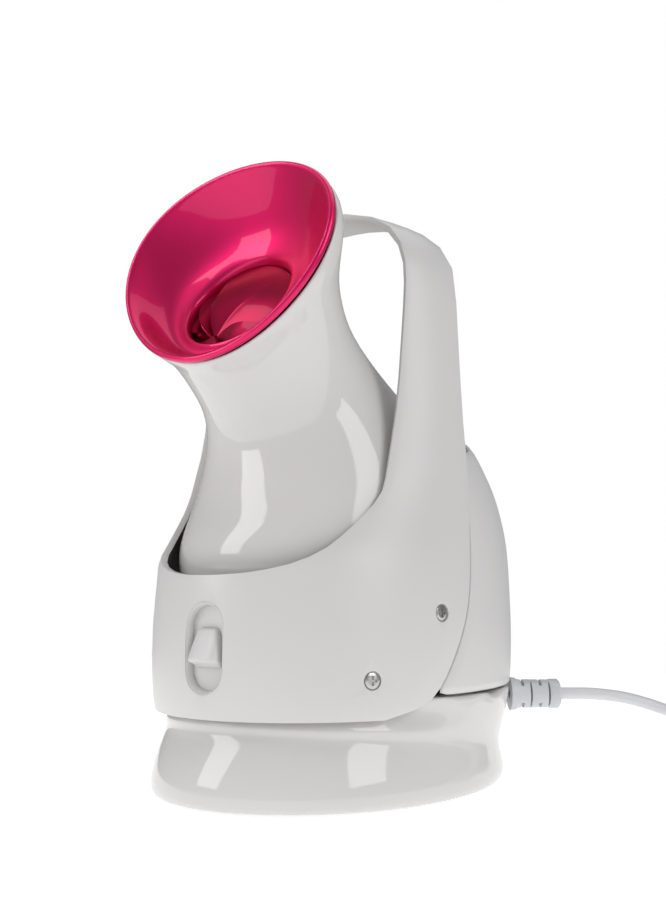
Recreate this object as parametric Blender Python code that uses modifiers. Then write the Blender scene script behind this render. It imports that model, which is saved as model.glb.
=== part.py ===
"""Facial steamer with a flared mouth, a carrying arch and a mains cord.

Metres, +Z up.  The mouth faces -Y, the arch stands over X = 0, and the origin is on the table
under the middle of the body.  Housing shapes are lofts through a few tilted ellipses.
"""
import math

import bmesh
import bpy
import numpy as np
from mathutils import Matrix, Vector

# ---------------------------------------------------------------- driving dimensions (metres)
WALL = 0.0026              # moulded housings
SLING_WALL = 0.0024        # front wrap and arch
GAP = 0.0004               # clearance between touching pieces
SIDE_SEAM = 0.0010         # from the wrap's rear edge to the back cover, along Y
DECK_TOP = 0.0384          # top of the lower housing, and the seam under the back cover
DECK_THICKNESS = 0.0022
SLING_BOTTOM = 0.0318      # lower edge of the front wrap
NOTCH_HEIGHT = 0.0830      # lowest point of the sling's upper edge, at the front
ARM_TOP = 0.198            # height where the straight arms turn into the arch
ARM_HALF_WIDTH = 0.0612    # half the width over the two arms
ARCH_RISE = 0.0390         # height of the arch over ARM_TOP
ARCH_LENGTH = 0.0644       # along the sling from ARM_TOP to the crown
ARCH_SQUARENESS = 0.86     # 1 gives an elliptical arch, less gives squarer shoulders
MOUTH_TILT = math.radians(17.1)     # the rim's normal points this far above the horizontal
MOUTH_CENTRE = Vector((0.0, -0.0762, 0.2027))
MOUTH_HALF_WIDTH = 0.0505
MOUTH_HALF_HEIGHT = 0.0442
MOUTH_EGG = 0.13           # the rim is wider above its middle than below it
THROAT_CENTRE = Vector((0.0, -0.0668, 0.1900))
THROAT_TILT = math.radians(33.0)
THROAT_RADIUS = 0.0235
FUNNEL_WALL = 0.0014
SWITCH_HEIGHT = 0.0570     # middle of the switch pocket
POCKET_HALF_WIDTH = 0.0088
POCKET_HALF_HEIGHT = 0.0165
FLOOR_Y = -0.0793          # floor of the switch pocket
KNOB_HALF_WIDTH = 0.0066
KNOB_HALF_HEIGHT = 0.0072
KNOB_TRAVEL = 0.0035       # each way from the middle
STEM_HALF_HEIGHT = 0.0025  # part of the knob that passes through the plate
SCREW_HEAD_RADIUS = 0.0028
BASE_SCREWS = ((-0.030, -0.052), (0.030, -0.052), (-0.030, 0.056), (0.030, 0.056))
FEET = ((-0.043, -0.036), (0.043, -0.036), (-0.043, 0.040), (0.043, 0.040))
SIDE_SCREWS = ((-0.0236, 0.0693), (-0.0523, 0.0458))   # (y, z) of each pair
CORD_RADIUS = 0.0026
ORIGIN_SHIFT = Vector((0.0, -0.00155, 0.0))   # puts the origin under the middle of the body
CORD_EXIT_ANGLE = math.radians(36.0)      # from +X towards +Y
CORD_EXIT_HEIGHT = 0.0328
RELIEF_LENGTH = 0.0220
COIL_RADIUS = 0.0286       # middle of the coiled turns
COIL_HALF_WIDTH = 0.0078
COIL_BOTTOM = 0.0011
COIL_HEIGHT = 0.0140
COIL_AHEAD = 0.1080        # coil's centre from the boot's end, along the cord
COIL_ASIDE = 0.0350
PLUG_TURN = math.radians(174)  # where the last turn leaves the coil
PLUG_LEAD = 0.0550         # straight cord from the coil to the plug
PLUG_HEIGHT = 0.0070
TANK_RADIUS = 0.0400

# Outer skin of the body by height: (z, half width, half depth, middle y).
SKIN = (
    (0.031, 0.0672, 0.0862, 0.0048),
    (0.040, 0.0683, 0.0878, 0.0048),
    (0.060, 0.0689, 0.0885, 0.0050),
    (0.080, 0.0684, 0.0874, 0.0055),
    (0.090, 0.0679, 0.0862, 0.0058),
    (0.100, 0.0673, 0.0775, 0.0060),
    (0.112, 0.0663, 0.0673, 0.0060),
    (0.125, 0.0652, 0.0606, 0.0060),
    (0.150, 0.0630, 0.0530, 0.0060),
    (0.198, 0.0612, 0.0520, 0.0060),
)
# Dome of the back cover above the body, in the same form.
DOME = (
    (0.0388, 0.0682, 0.0878, 0.0048),
    (0.060, 0.0689, 0.0885, 0.0050),
    (0.080, 0.0684, 0.0878, 0.0055),
    (0.100, 0.0671, 0.0858, 0.0060),
    (0.120, 0.0638, 0.0752, 0.0060),
    (0.140, 0.0562, 0.0572, 0.0060),
    (0.152, 0.0495, 0.0440, 0.0050),
    (0.160, 0.0430, 0.0335, 0.0040),
)
# Side view of the sling's two free edges, (y, height), from the bottom to the arch's crown.
SLING_FRONT_EDGE = (
    (-0.0790, 0.0838),
    (-0.0700, 0.0880),
    (-0.0568, 0.0970),
    (-0.0405, 0.1120),
    (-0.0344, 0.1250),
    (-0.0275, 0.1500),
    (-0.0240, 0.1870),
    (-0.0225, 0.2080),
    (-0.0200, 0.2330),
    (-0.0180, 0.2624),
)
SLING_REAR_EDGE = (
    (-0.0470, 0.0318),
    (-0.0290, 0.0382),
    (-0.0170, 0.0540),
    (-0.0075, 0.0750),
    (-0.0030, 0.1050),
    (0.0000, 0.1350),
    (0.0000, 0.1980),
    (0.0005, 0.2400),
    (0.0030, 0.2624),
)
# Tilted ellipses: (front y, front z, rear y, rear z, half width, egg).
TOWER_RINGS = (
    (-0.0640, 0.0388, 0.0700, 0.0388, 0.0560, 0.00),
    (-0.0685, 0.0700, 0.0720, 0.0740, 0.0590, 0.00),
    (-0.0725, 0.0930, 0.0737, 0.0980, 0.0598, 0.00),
    (-0.0637, 0.1117, 0.0680, 0.1291, 0.0565, 0.00),
    (-0.0593, 0.1364, -0.0136, 0.1842, 0.0351, 0.00),
    (-0.0770, 0.1564, -0.0457, 0.2137, 0.0402, 0.15),
)
FOOT_RINGS = (
    (-0.0828, 0.0006, 0.0838, 0.0006, 0.0650, 0.00),
    (-0.0842, 0.0035, 0.0866, 0.0035, 0.0664, 0.00),
    (-0.0832, 0.0110, 0.0858, 0.0080, 0.0657, 0.00),
    (-0.0792, 0.0200, 0.0840, 0.0120, 0.0646, 0.00),
    (-0.0757, 0.0262, 0.0838, 0.0150, 0.0643, 0.00),
    (-0.0768, 0.0290, 0.0868, 0.0200, 0.0650, 0.00),
    (-0.0786, 0.0320, 0.0900, 0.0280, 0.0664, 0.00),
    (-0.0790, 0.0384, 0.0922, 0.0384, 0.0682, 0.00),
)

PLASTIC_WHITE = (0.80, 0.79, 0.78)
PLASTIC_GLOSS = (0.83, 0.82, 0.81)
PINK = (0.60, 0.01, 0.12)
GREY = (0.60, 0.60, 0.60)
DARK = (0.03, 0.03, 0.03)
STEEL = (0.60, 0.60, 0.62)

# ---------------------------------------------------------------- scene, collections, materials
for old_object in list(bpy.data.objects):
    bpy.data.objects.remove(old_object)
PARTS = bpy.data.collections.new("facial_steamer")
CUTTERS = bpy.data.collections.new("cutters")
bpy.context.scene.collection.children.link(PARTS)
bpy.context.scene.collection.children.link(CUTTERS)


def material(name, colour, roughness=0.4, metallic=0.0):
    """A Principled material of one colour."""
    result = bpy.data.materials.new(name)
    result.use_nodes = True
    shader = result.node_tree.nodes["Principled BSDF"]
    shader.inputs["Base Color"].default_value = (*colour, 1.0)
    shader.inputs["Roughness"].default_value = roughness
    shader.inputs["Metallic"].default_value = metallic
    result.diffuse_color = (*colour, 1.0)
    return result


def add_part(name, mesh, colour, roughness=0.4, metallic=0.0):
    """Put a mesh in the parts collection as the named piece, with a material of its own."""
    mesh.name = name
    part = bpy.data.objects.new(name, mesh)
    PARTS.objects.link(part)
    mesh.materials.clear()
    mesh.materials.append(material(name, colour, roughness, metallic))
    mesh.shade_smooth()
    mesh.set_sharp_from_angle(angle=math.radians(35))
    return part


def add_cutter(name, mesh):
    """Put a mesh in the cutters collection."""
    mesh.name = name
    cutter = bpy.data.objects.new(name, mesh)
    cutter.display_type = "WIRE"
    cutter.hide_render = True
    CUTTERS.objects.link(cutter)
    return cutter


def boolean(target, cutter, operation="DIFFERENCE"):
    """Add an exact Boolean of the cutter to the target."""
    modifier = target.modifiers.new(cutter.name, "BOOLEAN")
    modifier.operation = operation
    modifier.solver = "EXACT"
    modifier.object = cutter


def solidify(target, thickness):
    """Give an open surface a wall on its inner side."""
    modifier = target.modifiers.new("wall", "SOLIDIFY")
    modifier.thickness = thickness
    modifier.offset = -1.0
    modifier.use_even_offset = True


def mirror_x(target):
    """Mirror a half that is open at X = 0."""
    modifier = target.modifiers.new("mirror", "MIRROR")
    modifier.use_axis = (True, False, False)
    modifier.merge_threshold = 0.00005


# ---------------------------------------------------------------- smooth curves and sections
def smooth_row(rows, position):
    """Read a Catmull-Rom curve through the rows; position counts rows from 0."""
    rows = np.asarray(rows, float)
    last = len(rows) - 1
    index = min(int(position), last - 1)
    t = position - index
    before = rows[index - 1] if index > 0 else 2 * rows[0] - rows[1]
    after = rows[index + 2] if index + 2 <= last else 2 * rows[last] - rows[last - 1]
    start, end = rows[index], rows[index + 1]
    return 0.5 * (2 * start + (end - before) * t
                  + (2 * before - 5 * start + 4 * end - after) * t ** 2
                  + (3 * start - before - 3 * end + after) * t ** 3)


def smooth_rows(rows, count):
    """The curve through the rows, read at evenly spaced positions."""
    return [smooth_row(rows, (len(rows) - 1) * i / (count - 1)) for i in range(count)]


def section_at(table, height):
    """Half width, half depth and middle y of a skin at a height."""
    heights = [row[0] for row in table]
    height = min(max(height, heights[0]), heights[-1])
    index = max(i for i in range(len(heights) - 1) if heights[i] <= height)
    low, high = 0.0, 1.0
    for _ in range(30):
        middle = (low + high) / 2
        if smooth_row(table, index + middle)[0] < height:
            low = middle
        else:
            high = middle
    return smooth_row(table, index + low)[1:]


def sling_section(distance):
    """Height, half width, half depth and middle y at a distance up the sling and its arch."""
    if distance <= ARM_TOP:
        return (distance, *section_at(SKIN, distance))
    _, depth, middle = section_at(SKIN, ARM_TOP)
    share = min((distance - ARM_TOP) / ARCH_LENGTH, 1.0)
    turn = share * math.pi / 2
    width = ARM_HALF_WIDTH * max(math.cos(turn), 0.0) ** ARCH_SQUARENESS
    return (ARM_TOP + ARCH_RISE * math.sin(turn) ** ARCH_SQUARENESS, width, depth, middle)


def skin_angle(y, section):
    """Angle around the section, -90 degrees at the front, for a y on its outline."""
    _, _, depth, middle = section
    return math.asin(max(-1.0, min(1.0, (y - middle) / depth)))


def skin_point(angle, section):
    """Point on the outline of a section at an angle."""
    height, width, depth, middle = section
    return Vector((width * math.cos(angle), middle + depth * math.sin(angle), height))


def patch_mesh(name, rows):
    """Open surface through rows of points that all have the same count."""
    shape = bmesh.new()
    grid = [[shape.verts.new(point) for point in row] for row in rows]
    for lower, upper in zip(grid, grid[1:]):
        for i in range(len(lower) - 1):
            shape.faces.new((lower[i], lower[i + 1], upper[i + 1], upper[i]))
    bmesh.ops.recalc_face_normals(shape, faces=shape.faces)
    mesh = bpy.data.meshes.new(name)
    shape.to_mesh(mesh)
    shape.free()
    return mesh


def ring(front_y, front_z, rear_y, rear_z, width, egg, count, tuck=None):
    """Closed outline of a tilted ellipse; egg widens its rear half, tuck moves points inwards."""
    points = []
    for i in range(count):
        angle = 2 * math.pi * i / count
        side, along = math.cos(angle), math.sin(angle)
        inset = tuck(along) if tuck else 0.0
        half_y, half_z = (rear_y - front_y) / 2, (rear_z - front_z) / 2
        points.append(Vector((
            (width * (1 + egg * along) - inset) * side,
            (front_y + rear_y) / 2 + (half_y - inset) * along,
            (front_z + rear_z) / 2 + half_z * along,
        )))
    return points


def mouth_ring(scale, forward, count):
    """Outline of the rim's egg, scaled about its centre and moved out along its normal."""
    normal = Vector((0, -math.cos(MOUTH_TILT), math.sin(MOUTH_TILT)))
    up = Vector((0, math.sin(MOUTH_TILT), math.cos(MOUTH_TILT)))
    points = []
    for i in range(count):
        angle = 2 * math.pi * i / count
        width = MOUTH_HALF_WIDTH * (1 + MOUTH_EGG * math.sin(angle)) * math.cos(angle)
        height = MOUTH_HALF_HEIGHT * math.sin(angle)
        offset = Vector((width, 0, 0)) + up * height
        points.append(MOUTH_CENTRE + offset * scale + normal * forward)
    return points


def throat_ring(radius, forward, count, tilt=THROAT_TILT):
    """Circle around the throat's axis."""
    normal = Vector((0, -math.cos(tilt), math.sin(tilt)))
    up = Vector((0, math.sin(tilt), math.cos(tilt)))
    points = []
    for i in range(count):
        angle = 2 * math.pi * i / count
        offset = Vector((math.cos(angle), 0, 0)) + up * math.sin(angle)
        points.append(THROAT_CENTRE + offset * radius + normal * forward)
    return points


def loft_mesh(name, rings, close_first=False, close_last=False):
    """Surface through closed outlines of equal count, with flat ends where asked."""
    shape = bmesh.new()
    loops = [[shape.verts.new(point) for point in outline] for outline in rings]
    count = len(loops[0])
    for lower, upper in zip(loops, loops[1:]):
        for i in range(count):
            j = (i + 1) % count
            shape.faces.new((lower[i], lower[j], upper[j], upper[i]))
    if close_first:
        shape.faces.new(loops[0])
    if close_last:
        shape.faces.new(loops[-1])
    bmesh.ops.recalc_face_normals(shape, faces=shape.faces)
    mesh = bpy.data.meshes.new(name)
    shape.to_mesh(mesh)
    shape.free()
    return mesh


def flip_to_point_out(mesh, centre):
    """Turn an open surface's faces so that they point away from a centre line."""
    total = sum((face.center - centre).dot(face.normal) for face in mesh.polygons)
    if total < 0:
        mesh.flip_normals()


# ---------------------------------------------------------------- simple solids
def box_mesh(name, size, centre, bevel=0.0):
    """Box with its edges bevelled by one flat."""
    shape = bmesh.new()
    bmesh.ops.create_cube(shape, size=1.0)
    bmesh.ops.scale(shape, vec=size, verts=shape.verts)
    bmesh.ops.translate(shape, vec=centre, verts=shape.verts)
    if bevel:
        bmesh.ops.bevel(shape, geom=shape.edges[:], offset=bevel, segments=1, affect="EDGES")
    mesh = bpy.data.meshes.new(name)
    shape.to_mesh(mesh)
    shape.free()
    return mesh


def cylinder_mesh(name, radius, start, end, sides=24, end_radius=None):
    """Cylinder or cone between two points."""
    start, end = Vector(start), Vector(end)
    along = end - start
    shape = bmesh.new()
    bmesh.ops.create_cone(shape, cap_ends=True, segments=sides, radius1=radius,
                          radius2=radius if end_radius is None else end_radius,
                          depth=along.length)
    turn = along.to_track_quat("Z", "Y").to_matrix().to_4x4()
    place = Matrix.Translation((start + end) / 2) @ turn
    bmesh.ops.transform(shape, matrix=place, verts=shape.verts)
    mesh = bpy.data.meshes.new(name)
    shape.to_mesh(mesh)
    shape.free()
    return mesh


def turned_mesh(name, profile, start, direction, sides=24):
    """Turned solid or tube: a closed (radius, distance) profile about an axis."""
    axis = Vector(direction).normalized()
    turn = axis.to_track_quat("Z", "Y").to_matrix()
    on_axis = profile[0][0] == 0.0
    shape = bmesh.new()
    loops = []
    for radius, distance in profile:
        if radius == 0.0:
            loops.append([shape.verts.new(Vector(start) + turn @ Vector((0, 0, distance)))])
            continue
        loop = []
        for i in range(sides):
            angle = 2 * math.pi * i / sides
            local = Vector((radius * math.cos(angle), radius * math.sin(angle), distance))
            loop.append(shape.verts.new(Vector(start) + turn @ local))
        loops.append(loop)
    pairs = list(zip(loops, loops[1:]))
    if not on_axis:
        pairs.append((loops[-1], loops[0]))
    for lower, upper in pairs:
        for i in range(sides):
            j = (i + 1) % sides
            if len(lower) == 1:
                shape.faces.new((lower[0], upper[i], upper[j]))
            elif len(upper) == 1:
                shape.faces.new((lower[i], lower[j], upper[0]))
            else:
                shape.faces.new((lower[i], lower[j], upper[j], upper[i]))
    bmesh.ops.recalc_face_normals(shape, faces=shape.faces)
    mesh = bpy.data.meshes.new(name)
    shape.to_mesh(mesh)
    shape.free()
    return mesh


def join_meshes(name, meshes):
    """One mesh that holds several separate solids."""
    shape = bmesh.new()
    for mesh in meshes:
        shape.from_mesh(mesh)
        bpy.data.meshes.remove(mesh)
    joined = bpy.data.meshes.new(name)
    shape.to_mesh(joined)
    shape.free()
    return joined


def tube_mesh(name, points, radius, resolution):
    """Round tube along a POLY curve, made a mesh with its caps welded."""
    curve = bpy.data.curves.new(name, "CURVE")
    curve.dimensions = "3D"
    curve.bevel_depth = radius
    curve.bevel_resolution = resolution
    curve.use_fill_caps = True
    spline = curve.splines.new("POLY")
    spline.points.add(len(points) - 1)
    for target, point in zip(spline.points, points):
        target.co = (*point, 1.0)
    holder = bpy.data.objects.new(name, curve)
    bpy.context.scene.collection.objects.link(holder)
    bpy.context.view_layer.update()
    evaluated = holder.evaluated_get(bpy.context.evaluated_depsgraph_get())
    mesh = bpy.data.meshes.new_from_object(evaluated)
    bpy.data.objects.remove(holder)
    bpy.data.curves.remove(curve)
    shape = bmesh.new()
    shape.from_mesh(mesh)
    bmesh.ops.remove_doubles(shape, verts=shape.verts, dist=0.00001)
    bmesh.ops.recalc_face_normals(shape, faces=shape.faces)
    shape.to_mesh(mesh)
    shape.free()
    return mesh


def outline_solid(name, outline, start_x, end_x):
    """Flat (y, z) outline extruded along X."""
    near = [Vector((start_x, y, z)) for y, z in outline]
    far = [Vector((end_x, y, z)) for y, z in outline]
    return loft_mesh(name, [near, far], close_first=True, close_last=True)


def oval_solid(name, half_width, half_height, middle_z, start_y, end_y, sides=28):
    """Upright oval with straight sides, extruded along Y."""
    straight = half_height - half_width
    rings = []
    for y in (start_y, end_y):
        loop = []
        for i in range(sides):
            angle = 2 * math.pi * (i + 0.5) / sides
            lift = straight if math.sin(angle) > 0 else -straight
            loop.append(Vector((half_width * math.cos(angle), y,
                                middle_z + half_width * math.sin(angle) + lift)))
        rings.append(loop)
    return loft_mesh(name, rings, close_first=True, close_last=True)


# ---------------------------------------------------------------- lower housing
def under_sling(along):
    """How far the top of the lower housing is tucked in, to pass behind the front wrap."""
    t = min(max((-0.10 - along) / 0.35, 0.0), 1.0)
    return 0.0004 + 0.0040 * t * t * (3 - 2 * t)


def make_foot_base():
    """Flared housing, open below, with a flat deck on top that carries the boiler."""
    sides = 40
    rings = []
    for row in smooth_rows(FOOT_RINGS, 12):
        share = min(max((max(row[1], row[3]) - 0.029) / 0.004, 0.0), 1.0)
        rings.append(ring(*row, sides, tuck=lambda along, s=share: s * under_sling(along)))
    mesh = loft_mesh("foot_base", rings, close_last=True)
    flip_to_point_out(mesh, Vector((0, 0, 0.02)))
    part = add_part("foot_base", mesh, PLASTIC_GLOSS, 0.15)
    solidify(part, DECK_THICKNESS)
    exit_point, outward = cord_exit()
    boolean(part, add_cutter("cord_hole", cylinder_mesh(
        "cord_hole", 0.0031, exit_point - outward * 0.012, exit_point + outward * 0.006)))
    boolean(part, add_cutter("lead_hole", cylinder_mesh(
        "lead_hole", 0.004, (0.0, 0.050, 0.030), (0.0, 0.050, 0.045))))
    return part


def make_base_plate():
    """Flat bottom cover inside the lower housing's rim, with four screw holes."""
    rings = [ring(-0.0772, z, 0.0792, z, 0.0592, 0.0, 40) for z in (0.0014, 0.0036)]
    part = add_part("base_plate", loft_mesh("base_plate", rings, True, True), PLASTIC_WHITE, 0.5)
    holes = [cylinder_mesh("hole", 0.0017, (x, y, 0.0), (x, y, 0.006), 16)
             for x, y in BASE_SCREWS]
    boolean(part, add_cutter("base_screw_holes", join_meshes("base_screw_holes", holes)))


def make_base_fittings():
    """Rubber feet and the screws of the bottom cover."""
    for number, (x, y) in enumerate(FEET, 1):
        name = f"rubber_foot_{number}"
        mesh = cylinder_mesh(name, 0.0062, (x, y, 0.0), (x, y, 0.0011), 24, 0.0070)
        add_part(name, mesh, DARK, 0.8)
    for number, (x, y) in enumerate(BASE_SCREWS, 1):
        name = f"base_screw_{number}"
        profile = ((0.0, 0.0003), (0.0029, 0.0003), (0.0029, 0.0011), (0.0014, 0.0011),
                   (0.0013, 0.0100), (0.0, 0.0108))
        add_part(name, turned_mesh(name, profile, (x, y, 0.0), (0, 0, 1), 10), STEEL, 0.3, 1.0)


# ---------------------------------------------------------------- front wrap with its arch
def sling_rows(count_along, count_across):
    """Rows of the right half, from the rear edge to the front edge, bottom to crown."""
    centre_rows = 0.16
    rows = []
    for i in range(count_along):
        share = i / (count_along - 1)
        rear_y, rear_distance = smooth_row(SLING_REAR_EDGE, share * (len(SLING_REAR_EDGE) - 1))
        rear_angle = skin_angle(rear_y, sling_section(rear_distance))
        if share <= centre_rows:
            t = share / centre_rows
            front_distance = SLING_BOTTOM + t * (NOTCH_HEIGHT - SLING_BOTTOM)
            front_angle = -math.pi / 2
        else:
            t = (share - centre_rows) / (1 - centre_rows)
            front_y, front_distance = front_edge_point(t)
            front_angle = skin_angle(front_y, sling_section(front_distance))
        row = []
        for j in range(count_across):
            u = j / (count_across - 1)
            angle = rear_angle + (front_angle - rear_angle) * u
            distance = rear_distance + (front_distance - rear_distance) * u
            row.append(skin_point(angle, sling_section(distance)))
        rows.append(row)
    for row in rows:
        if abs(row[-1].x) < 0.0002:
            row[-1].x = 0.0
    for point in rows[-1]:
        point.x = 0.0
    return rows


def front_edge_point(t):
    """Point (y, distance) on the sling's upper edge; it starts level at the front."""
    section = sling_section(NOTCH_HEIGHT)
    edge = [(section[3] - section[2], NOTCH_HEIGHT), *SLING_FRONT_EDGE]
    start_share = 0.16
    if t < start_share:
        _, first_height = SLING_FRONT_EDGE[0]
        first_angle = skin_angle(SLING_FRONT_EDGE[0][0], sling_section(first_height))
        angle = -math.pi / 2 + (first_angle + math.pi / 2) * t / start_share
        height = NOTCH_HEIGHT + (first_height - NOTCH_HEIGHT) * (t / start_share) ** 2
        section = sling_section(height)
        return section[3] + section[2] * math.sin(angle), height
    return smooth_row(edge, 1 + (t - start_share) / (1 - start_share) * (len(edge) - 2))


def make_front_wrap():
    """Wrap that carries the switch, and the arch that rises from both its sides."""
    mesh = patch_mesh("front_wrap", sling_rows(32, 11))
    flip_to_point_out(mesh, Vector((0, 0, 0.10)))
    part = add_part("front_wrap", mesh, PLASTIC_WHITE, 0.4)
    mirror_x(part)
    solidify(part, SLING_WALL)
    pocket = oval_solid("pocket", POCKET_HALF_WIDTH, POCKET_HALF_HEIGHT, SWITCH_HEIGHT,
                        -0.095, -0.070)
    boolean(part, add_cutter("switch_pocket", pocket))
    holes = []
    for place, inward in side_screw_axes():
        holes.append(cylinder_mesh("head", 0.0034, place - inward * 0.004,
                                   place + inward * 0.0014, 20))
    boolean(part, add_cutter("side_screw_heads", join_meshes("side_screw_heads", holes)))
    holes = []
    for place, inward in side_screw_axes():
        holes.append(cylinder_mesh("shank", 0.0018, place - inward * 0.003,
                                   place + inward * 0.008, 16))
    boolean(part, add_cutter("side_screw_shanks", join_meshes("side_screw_shanks", holes)))


def side_screw_axes():
    """Place on the skin and inward direction of each side screw."""
    result = []
    for y, z in SIDE_SCREWS:
        section = sling_section(z)
        place = skin_point(skin_angle(y, section), section)
        slope = Vector((place.x / section[1] ** 2, (y - section[3]) / section[2] ** 2, 0))
        outward = slope.normalized()
        for side in (1, -1):
            flip = Vector((side, 1, 1))
            result.append((place * flip, -(outward * flip)))
    return result


def make_side_screws():
    """Cross-head screws that hold the wrap, in shallow round recesses."""
    for number, (place, inward) in enumerate(side_screw_axes(), 1):
        name = f"side_screw_{number}"
        profile = ((0.0, 0.0003), (0.0020, 0.0003), (SCREW_HEAD_RADIUS, 0.0006),
                   (SCREW_HEAD_RADIUS, 0.0011), (0.0014, 0.0011), (0.0013, 0.0062),
                   (0.0, 0.0072))
        add_part(name, turned_mesh(name, profile, place, inward, 12), STEEL, 0.25, 1.0)


# ---------------------------------------------------------------- back cover
def make_back_cover():
    """Rear shell, from the wrap's rear edge round the back, with a dome that closes on the neck."""
    rows = []
    count_along, count_across = 16, 13
    top = DOME[-1][0]
    for i in range(count_along):
        share = i / (count_along - 1)
        side_height = DECK_TOP + GAP + share * (0.134 - DECK_TOP - GAP)
        rear_height = DECK_TOP + GAP + share * (top - DECK_TOP - GAP)
        front_y = rear_edge_y(side_height) + SIDE_SEAM
        section = (side_height, *section_at(DOME, side_height))
        front_angle = skin_angle(front_y, section)
        row = []
        for j in range(count_across):
            u = j / (count_across - 1)
            angle = front_angle + (math.pi / 2 - front_angle) * u
            rise = u * u * (3 - 2 * u)
            height = side_height + (rear_height - side_height) * rise
            row.append(skin_point(angle, (height, *section_at(DOME, height))))
        row[-1].x = 0.0
        rows.append(row)
    mesh = patch_mesh("back_cover", rows)
    flip_to_point_out(mesh, Vector((0, 0, 0.10)))
    part = add_part("back_cover", mesh, PLASTIC_WHITE, 0.35)
    mirror_x(part)
    solidify(part, WALL)


def rear_edge_y(height):
    """The y of the sling's rear edge at a height."""
    low, high = 0.0, len(SLING_REAR_EDGE) - 3.0
    for _ in range(40):
        middle = (low + high) / 2
        if smooth_row(SLING_REAR_EDGE, middle)[1] < height:
            low = middle
        else:
            high = middle
    return float(smooth_row(SLING_REAR_EDGE, low)[0])


# ---------------------------------------------------------------- tower, funnel, throat
def make_steam_tower():
    """Gourd-shaped inner body with a narrow neck that leans forward to the mouth."""
    sides = 40
    rings = [ring(*row, sides) for row in smooth_rows(TOWER_RINGS, 13)]
    rings.append(mouth_ring(0.985, -0.009, sides))
    rings.append(mouth_ring(0.995, -0.0026, sides))
    mesh = loft_mesh("steam_tower", rings)
    flip_to_point_out(mesh, Vector((0, -0.01, 0.12)))
    part = add_part("steam_tower", mesh, PLASTIC_GLOSS, 0.12)
    solidify(part, 0.0022)


def make_nozzle_funnel():
    """Tinted bowl that fills the mouth: a rounded lip, a bowl and a short spigot."""
    sides = 40
    lip = [
        mouth_ring(0.998, -0.0012, sides),
        mouth_ring(0.996, 0.0006, sides),
        mouth_ring(0.975, 0.0016, sides),
        mouth_ring(0.945, 0.0010, sides),
    ]
    rim = mouth_ring(0.910, -0.0010, sides)
    throat = throat_ring(THROAT_RADIUS, 0.0, sides)
    bowl = []
    steps = 5
    for i in range(steps + 1):
        t = i / steps
        sag = 0.0050 * math.sin(math.pi * t)
        deep = Vector((0, math.cos(THROAT_TILT), -math.sin(THROAT_TILT))) * sag
        bowl.append([a.lerp(b, t) + deep for a, b in zip(rim, throat)])
    spigot = [throat_ring(THROAT_RADIUS - 0.0005, -0.004, sides),
              throat_ring(THROAT_RADIUS - 0.0008, -0.012, sides)]
    mesh = loft_mesh("nozzle_funnel", lip + bowl + spigot)
    # The wall lies behind the bowl's visible face.
    centre = MOUTH_CENTRE + Vector((0, -0.03, 0.01))
    total = sum((centre - face.center).dot(face.normal) for face in mesh.polygons)
    if total < 0:
        mesh.flip_normals()
    part = add_part("nozzle_funnel", mesh, PINK, 0.1)
    solidify(part, FUNNEL_WALL)


def throat_frame():
    """Unit vectors out of the throat, across it and up it."""
    outward = Vector((0, -math.cos(THROAT_TILT), math.sin(THROAT_TILT)))
    upward = Vector((0, math.sin(THROAT_TILT), math.cos(THROAT_TILT)))
    return outward, Vector((1, 0, 0)), upward


def make_throat_vanes():
    """Guard in the throat: five curved petals that meet at the middle, joined by a ring."""
    outward, across, upward = throat_frame()
    centre = THROAT_CENTRE - outward * 0.0035
    turn = Matrix((across, upward, outward)).transposed()
    outer = THROAT_RADIUS - 0.0017
    profile = ((outer - 0.0014, -0.004), (outer, -0.004), (outer, 0.001), (outer - 0.0014, 0.001))
    part = add_part("throat_vanes", turned_mesh("throat_vanes", profile, centre, outward, 28),
                    PINK, 0.1)
    hub = add_cutter("vane_hub", cylinder_mesh("vane_hub", 0.0022, centre - outward * 0.0036,
                                               centre + outward * 0.0012, 16))
    boolean(part, hub, "UNION")
    for petal in range(5):
        start_angle = 2 * math.pi * petal / 5 + math.pi / 2
        near, far = [], []
        for i in range(6):
            t = i / 5
            radius = 0.0008 + (outer - 0.0012) * t
            angle = start_angle + 1.1 * t * t
            for side, points in ((1, near), (-1, far)):
                local = Vector((radius * math.cos(angle), radius * math.sin(angle), 0))
                normal = Vector((-math.sin(angle), math.cos(angle), 0)) * 0.0005 * side
                points.append(local + normal)
        outline = near + far[::-1]
        rings = [[centre + turn @ (p + Vector((0, 0, z))) for p in outline]
                 for z in (-0.0033, 0.0006)]
        name = f"vane_{petal + 1}"
        boolean(part, add_cutter(name, loft_mesh(name, rings, True, True)), "UNION")


def make_steam_path():
    """Seal round the spigot and the pipe that brings steam up from the tank."""
    outward, _, _ = throat_frame()
    start = THROAT_CENTRE - outward * 0.0120
    inner = THROAT_RADIUS + 0.0013
    outer = inner + 0.0022
    profile = ((inner, 0.0), (outer, 0.0), (outer, 0.0030), (inner, 0.0030))
    add_part("funnel_seal", turned_mesh("funnel_seal", profile, start, outward, 28), DARK, 0.8)
    end = THROAT_CENTRE - outward * 0.0160
    route = [(0, 0.0, 0.1336), (0, 0.0, 0.1385), (0, -0.003, 0.1445), (0, -0.010, 0.1515),
             (0, -0.021, 0.1605), (0, -0.034, 0.1675), tuple(end)]
    points = smooth_rows(route, 9)
    outer = tube_mesh("steam_pipe", points, 0.0105, 3)
    part = add_part("steam_pipe", outer, GREY, 0.3)
    first, last = Vector(points[0]), Vector(points[-1])
    longer = [first + (first - Vector(points[1])), *points, last + (last - Vector(points[-2]))]
    boolean(part, add_cutter("steam_bore", tube_mesh("steam_bore", longer, 0.0090, 3)))


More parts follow.
